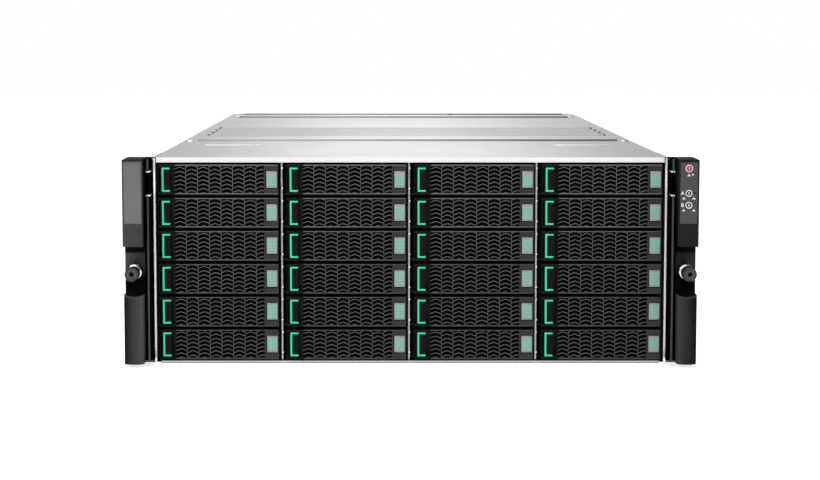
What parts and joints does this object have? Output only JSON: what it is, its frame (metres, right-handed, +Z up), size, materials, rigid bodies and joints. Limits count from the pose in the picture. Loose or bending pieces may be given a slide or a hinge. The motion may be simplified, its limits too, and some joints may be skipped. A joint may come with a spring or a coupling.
{
  "type": "rack storage array",
  "caption": "Rack-mount storage array: steel chassis with front drive carriers behind chevron grilles, hinged release latches, black rack ears, rear controllers and power supplies.",
  "frame": {"origin": "middle of the chassis underside, halfway along its depth", "axes": "+X to the right seen from the front, +Y to the rear, +Z up"},
  "size_m": [0.4826, 0.8, 0.1772],
  "materials": {
    "bare_steel": "satin",
    "cage_steel": "satin",
    "module_steel": "satin",
    "black_moulding": "matte",
    "black_knob": "satin",
    "carrier_black": "satin",
    "latch_green": "satin",
    "panel_button": "matte"
  },
  "bodies": {
    "chassis": {"chassis_tray": "bare_steel", "drive_cage": "cage_steel", "top_panels": "bare_steel", "rack_ears": "black_moulding"},
    "carrier_r1_c1": {"carrier_r1_c1": "carrier_black"},
    "carrier_r1_c2": {"carrier_r1_c2": "carrier_black"},
    "carrier_r1_c3": {"carrier_r1_c3": "carrier_black"},
    "carrier_r1_c4": {"carrier_r1_c4": "carrier_black"},
    "carrier_r2_c1": {"carrier_r2_c1": "carrier_black"},
    "carrier_r2_c2": {"carrier_r2_c2": "carrier_black"},
    "carrier_r2_c3": {"carrier_r2_c3": "carrier_black"},
    "carrier_r2_c4": {"carrier_r2_c4": "carrier_black"},
    "carrier_r3_c1": {"carrier_r3_c1": "carrier_black"},
    "carrier_r3_c2": {"carrier_r3_c2": "carrier_black"},
    "carrier_r3_c3": {"carrier_r3_c3": "carrier_black"},
    "carrier_r3_c4": {"carrier_r3_c4": "carrier_black"},
    "carrier_r4_c1": {"carrier_r4_c1": "carrier_black"},
    "carrier_r4_c2": {"carrier_r4_c2": "carrier_black"},
    "carrier_r4_c3": {"carrier_r4_c3": "carrier_black"},
    "carrier_r4_c4": {"carrier_r4_c4": "carrier_black"},
    "carrier_r5_c1": {"carrier_r5_c1": "carrier_black"},
    "carrier_r5_c2": {"carrier_r5_c2": "carrier_black"},
    "carrier_r5_c3": {"carrier_r5_c3": "carrier_black"},
    "carrier_r5_c4": {"carrier_r5_c4": "carrier_black"},
    "carrier_r6_c1": {"carrier_r6_c1": "carrier_black"},
    "carrier_r6_c2": {"carrier_r6_c2": "carrier_black"},
    "carrier_r6_c3": {"carrier_r6_c3": "carrier_black"},
    "carrier_r6_c4": {"carrier_r6_c4": "carrier_black"},
    "latch_r1_c1": {"latch_r1_c1": "latch_green"},
    "latch_r1_c2": {"latch_r1_c2": "latch_green"},
    "latch_r1_c3": {"latch_r1_c3": "latch_green"},
    "latch_r1_c4": {"latch_r1_c4": "latch_green"},
    "latch_r2_c1": {"latch_r2_c1": "latch_green"},
    "latch_r2_c2": {"latch_r2_c2": "latch_green"},
    "latch_r2_c3": {"latch_r2_c3": "latch_green"},
    "latch_r2_c4": {"latch_r2_c4": "latch_green"},
    "latch_r3_c1": {"latch_r3_c1": "latch_green"},
    "latch_r3_c2": {"latch_r3_c2": "latch_green"},
    "latch_r3_c3": {"latch_r3_c3": "latch_green"},
    "latch_r3_c4": {"latch_r3_c4": "latch_green"},
    "latch_r4_c1": {"latch_r4_c1": "latch_green"},
    "latch_r4_c2": {"latch_r4_c2": "latch_green"},
    "latch_r4_c3": {"latch_r4_c3": "latch_green"},
    "latch_r4_c4": {"latch_r4_c4": "latch_green"},
    "latch_r5_c1": {"latch_r5_c1": "latch_green"},
    "latch_r5_c2": {"latch_r5_c2": "latch_green"},
    "latch_r5_c3": {"latch_r5_c3": "latch_green"},
    "latch_r5_c4": {"latch_r5_c4": "latch_green"},
    "latch_r6_c1": {"latch_r6_c1": "latch_green"},
    "latch_r6_c2": {"latch_r6_c2": "latch_green"},
    "latch_r6_c3": {"latch_r6_c3": "latch_green"},
    "latch_r6_c4": {"latch_r6_c4": "latch_green"},
    "left_thumb_screw": {"left_thumb_screw": "black_knob"},
    "right_thumb_screw": {"right_thumb_screw": "black_knob"},
    "controller_a": {"controller_a": "module_steel"},
    "controller_b": {"controller_b": "module_steel"},
    "power_supply_a": {"power_supply_a": "module_steel"},
    "power_supply_b": {"power_supply_b": "module_steel"},
    "power_button_a": {"power_button_a": "panel_button"},
    "power_button_b": {"power_button_b": "panel_button"}
  },
  "joints": [
    {"name": "carrier_r1_c1_slide", "type": "slide", "parent": "chassis", "child": "carrier_r1_c1", "axis": [0, -1, 0], "range_m": [0, 0.15]},
    {"name": "carrier_r1_c2_slide", "type": "slide", "parent": "chassis", "child": "carrier_r1_c2", "axis": [0, -1, 0], "range_m": [0, 0.15]},
    {"name": "carrier_r1_c3_slide", "type": "slide", "parent": "chassis", "child": "carrier_r1_c3", "axis": [0, -1, 0], "range_m": [0, 0.15]},
    {"name": "carrier_r1_c4_slide", "type": "slide", "parent": "chassis", "child": "carrier_r1_c4", "axis": [0, -1, 0], "range_m": [0, 0.15]},
    {"name": "carrier_r2_c1_slide", "type": "slide", "parent": "chassis", "child": "carrier_r2_c1", "axis": [0, -1, 0], "range_m": [0, 0.15]},
    {"name": "carrier_r2_c2_slide", "type": "slide", "parent": "chassis", "child": "carrier_r2_c2", "axis": [0, -1, 0], "range_m": [0, 0.15]},
    {"name": "carrier_r2_c3_slide", "type": "slide", "parent": "chassis", "child": "carrier_r2_c3", "axis": [0, -1, 0], "range_m": [0, 0.15]},
    {"name": "carrier_r2_c4_slide", "type": "slide", "parent": "chassis", "child": "carrier_r2_c4", "axis": [0, -1, 0], "range_m": [0, 0.15]},
    {"name": "carrier_r3_c1_slide", "type": "slide", "parent": "chassis", "child": "carrier_r3_c1", "axis": [0, -1, 0], "range_m": [0, 0.15]},
    {"name": "carrier_r3_c2_slide", "type": "slide", "parent": "chassis", "child": "carrier_r3_c2", "axis": [0, -1, 0], "range_m": [0, 0.15]},
    {"name": "carrier_r3_c3_slide", "type": "slide", "parent": "chassis", "child": "carrier_r3_c3", "axis": [0, -1, 0], "range_m": [0, 0.15]},
    {"name": "carrier_r3_c4_slide", "type": "slide", "parent": "chassis", "child": "carrier_r3_c4", "axis": [0, -1, 0], "range_m": [0, 0.15]},
    {"name": "carrier_r4_c1_slide", "type": "slide", "parent": "chassis", "child": "carrier_r4_c1", "axis": [0, -1, 0], "range_m": [0, 0.15]},
    {"name": "carrier_r4_c2_slide", "type": "slide", "parent": "chassis", "child": "carrier_r4_c2", "axis": [0, -1, 0], "range_m": [0, 0.15]},
    {"name": "carrier_r4_c3_slide", "type": "slide", "parent": "chassis", "child": "carrier_r4_c3", "axis": [0, -1, 0], "range_m": [0, 0.15]},
    {"name": "carrier_r4_c4_slide", "type": "slide", "parent": "chassis", "child": "carrier_r4_c4", "axis": [0, -1, 0], "range_m": [0, 0.15]},
    {"name": "carrier_r5_c1_slide", "type": "slide", "parent": "chassis", "child": "carrier_r5_c1", "axis": [0, -1, 0], "range_m": [0, 0.15]},
    {"name": "carrier_r5_c2_slide", "type": "slide", "parent": "chassis", "child": "carrier_r5_c2", "axis": [0, -1, 0], "range_m": [0, 0.15]},
    {"name": "carrier_r5_c3_slide", "type": "slide", "parent": "chassis", "child": "carrier_r5_c3", "axis": [0, -1, 0], "range_m": [0, 0.15]},
    {"name": "carrier_r5_c4_slide", "type": "slide", "parent": "chassis", "child": "carrier_r5_c4", "axis": [0, -1, 0], "range_m": [0, 0.15]},
    {"name": "carrier_r6_c1_slide", "type": "slide", "parent": "chassis", "child": "carrier_r6_c1", "axis": [0, -1, 0], "range_m": [0, 0.15]},
    {"name": "carrier_r6_c2_slide", "type": "slide", "parent": "chassis", "child": "carrier_r6_c2", "axis": [0, -1, 0], "range_m": [0, 0.15]},
    {"name": "carrier_r6_c3_slide", "type": "slide", "parent": "chassis", "child": "carrier_r6_c3", "axis": [0, -1, 0], "range_m": [0, 0.15]},
    {"name": "carrier_r6_c4_slide", "type": "slide", "parent": "chassis", "child": "carrier_r6_c4", "axis": [0, -1, 0], "range_m": [0, 0.15]},
    {"name": "latch_r1_c1_hinge", "type": "hinge", "parent": "carrier_r1_c1", "child": "latch_r1_c1", "pos_m": [-0.2112, -0.3736, 0.15785], "axis": [0, 0, -1], "range_deg": [0, 55]},
    {"name": "latch_r1_c2_hinge", "type": "hinge", "parent": "carrier_r1_c2", "child": "latch_r1_c2", "pos_m": [-0.1028, -0.3736, 0.15785], "axis": [0, 0, -1], "range_deg": [0, 55]},
    {"name": "latch_r1_c3_hinge", "type": "hinge", "parent": "carrier_r1_c3", "child": "latch_r1_c3", "pos_m": [0.0056, -0.3736, 0.15785], "axis": [0, 0, -1], "range_deg": [0, 55]},
    {"name": "latch_r1_c4_hinge", "type": "hinge", "parent": "carrier_r1_c4", "child": "latch_r1_c4", "pos_m": [0.114, -0.3736, 0.15785], "axis": [0, 0, -1], "range_deg": [0, 55]},
    {"name": "latch_r2_c1_hinge", "type": "hinge", "parent": "carrier_r2_c1", "child": "latch_r2_c1", "pos_m": [-0.2112, -0.3736, 0.12965], "axis": [0, 0, -1], "range_deg": [0, 55]},
    {"name": "latch_r2_c2_hinge", "type": "hinge", "parent": "carrier_r2_c2", "child": "latch_r2_c2", "pos_m": [-0.1028, -0.3736, 0.12965], "axis": [0, 0, -1], "range_deg": [0, 55]},
    {"name": "latch_r2_c3_hinge", "type": "hinge", "parent": "carrier_r2_c3", "child": "latch_r2_c3", "pos_m": [0.0056, -0.3736, 0.12965], "axis": [0, 0, -1], "range_deg": [0, 55]},
    {"name": "latch_r2_c4_hinge", "type": "hinge", "parent": "carrier_r2_c4", "child": "latch_r2_c4", "pos_m": [0.114, -0.3736, 0.12965], "axis": [0, 0, -1], "range_deg": [0, 55]},
    {"name": "latch_r3_c1_hinge", "type": "hinge", "parent": "carrier_r3_c1", "child": "latch_r3_c1", "pos_m": [-0.2112, -0.3736, 0.10145], "axis": [0, 0, -1], "range_deg": [0, 55]},
    {"name": "latch_r3_c2_hinge", "type": "hinge", "parent": "carrier_r3_c2", "child": "latch_r3_c2", "pos_m": [-0.1028, -0.3736, 0.10145], "axis": [0, 0, -1], "range_deg": [0, 55]},
    {"name": "latch_r3_c3_hinge", "type": "hinge", "parent": "carrier_r3_c3", "child": "latch_r3_c3", "pos_m": [0.0056, -0.3736, 0.10145], "axis": [0, 0, -1], "range_deg": [0, 55]},
    {"name": "latch_r3_c4_hinge", "type": "hinge", "parent": "carrier_r3_c4", "child": "latch_r3_c4", "pos_m": [0.114, -0.3736, 0.10145], "axis": [0, 0, -1], "range_deg": [0, 55]},
    {"name": "latch_r4_c1_hinge", "type": "hinge", "parent": "carrier_r4_c1", "child": "latch_r4_c1", "pos_m": [-0.2112, -0.3736, 0.07325], "axis": [0, 0, -1], "range_deg": [0, 55]},
    {"name": "latch_r4_c2_hinge", "type": "hinge", "parent": "carrier_r4_c2", "child": "latch_r4_c2", "pos_m": [-0.1028, -0.3736, 0.07325], "axis": [0, 0, -1], "range_deg": [0, 55]},
    {"name": "latch_r4_c3_hinge", "type": "hinge", "parent": "carrier_r4_c3", "child": "latch_r4_c3", "pos_m": [0.0056, -0.3736, 0.07325], "axis": [0, 0, -1], "range_deg": [0, 55]},
    {"name": "latch_r4_c4_hinge", "type": "hinge", "parent": "carrier_r4_c4", "child": "latch_r4_c4", "pos_m": [0.114, -0.3736, 0.07325], "axis": [0, 0, -1], "range_deg": [0, 55]},
    {"name": "latch_r5_c1_hinge", "type": "hinge", "parent": "carrier_r5_c1", "child": "latch_r5_c1", "pos_m": [-0.2112, -0.3736, 0.04505], "axis": [0, 0, -1], "range_deg": [0, 55]},
    {"name": "latch_r5_c2_hinge", "type": "hinge", "parent": "carrier_r5_c2", "child": "latch_r5_c2", "pos_m": [-0.1028, -0.3736, 0.04505], "axis": [0, 0, -1], "range_deg": [0, 55]},
    {"name": "latch_r5_c3_hinge", "type": "hinge", "parent": "carrier_r5_c3", "child": "latch_r5_c3", "pos_m": [0.0056, -0.3736, 0.04505], "axis": [0, 0, -1], "range_deg": [0, 55]},
    {"name": "latch_r5_c4_hinge", "type": "hinge", "parent": "carrier_r5_c4", "child": "latch_r5_c4", "pos_m": [0.114, -0.3736, 0.04505], "axis": [0, 0, -1], "range_deg": [0, 55]},
    {"name": "latch_r6_c1_hinge", "type": "hinge", "parent": "carrier_r6_c1", "child": "latch_r6_c1", "pos_m": [-0.2112, -0.3736, 0.01685], "axis": [0, 0, -1], "range_deg": [0, 55]},
    {"name": "latch_r6_c2_hinge", "type": "hinge", "parent": "carrier_r6_c2", "child": "latch_r6_c2", "pos_m": [-0.1028, -0.3736, 0.01685], "axis": [0, 0, -1], "range_deg": [0, 55]},
    {"name": "latch_r6_c3_hinge", "type": "hinge", "parent": "carrier_r6_c3", "child": "latch_r6_c3", "pos_m": [0.0056, -0.3736, 0.01685], "axis": [0, 0, -1], "range_deg": [0, 55]},
    {"name": "latch_r6_c4_hinge", "type": "hinge", "parent": "carrier_r6_c4", "child": "latch_r6_c4", "pos_m": [0.114, -0.3736, 0.01685], "axis": [0, 0, -1], "range_deg": [0, 55]},
    {"name": "left_thumb_screw_turn", "type": "hinge", "parent": "chassis", "child": "left_thumb_screw", "pos_m": [-0.23255, -0.382, 0.08115], "axis": [0, 1, 0], "continuous": true},
    {"name": "right_thumb_screw_turn", "type": "hinge", "parent": "chassis", "child": "right_thumb_screw", "pos_m": [0.23255, -0.382, 0.08115], "axis": [0, 1, 0], "continuous": true},
    {"name": "controller_a_slide", "type": "slide", "parent": "chassis", "child": "controller_a", "axis": [0, 1, 0], "range_m": [0, 0.35]},
    {"name": "controller_b_slide", "type": "slide", "parent": "chassis", "child": "controller_b", "axis": [0, 1, 0], "range_m": [0, 0.35]},
    {"name": "power_supply_a_slide", "type": "slide", "parent": "chassis", "child": "power_supply_a", "axis": [0, 1, 0], "range_m": [0, 0.25]},
    {"name": "power_supply_b_slide", "type": "slide", "parent": "chassis", "child": "power_supply_b", "axis": [0, 1, 0], "range_m": [0, 0.25]},
    {"name": "power_button_a_press", "type": "slide", "parent": "chassis", "child": "power_button_a", "axis": [0, 1, 0], "range_m": [0, 0.0008], "stiffness_N_per_m": 1500},
    {"name": "power_button_b_press", "type": "slide", "parent": "chassis", "child": "power_button_b", "axis": [0, 1, 0], "range_m": [0, 0.0008], "stiffness_N_per_m": 1500}
  ]
}
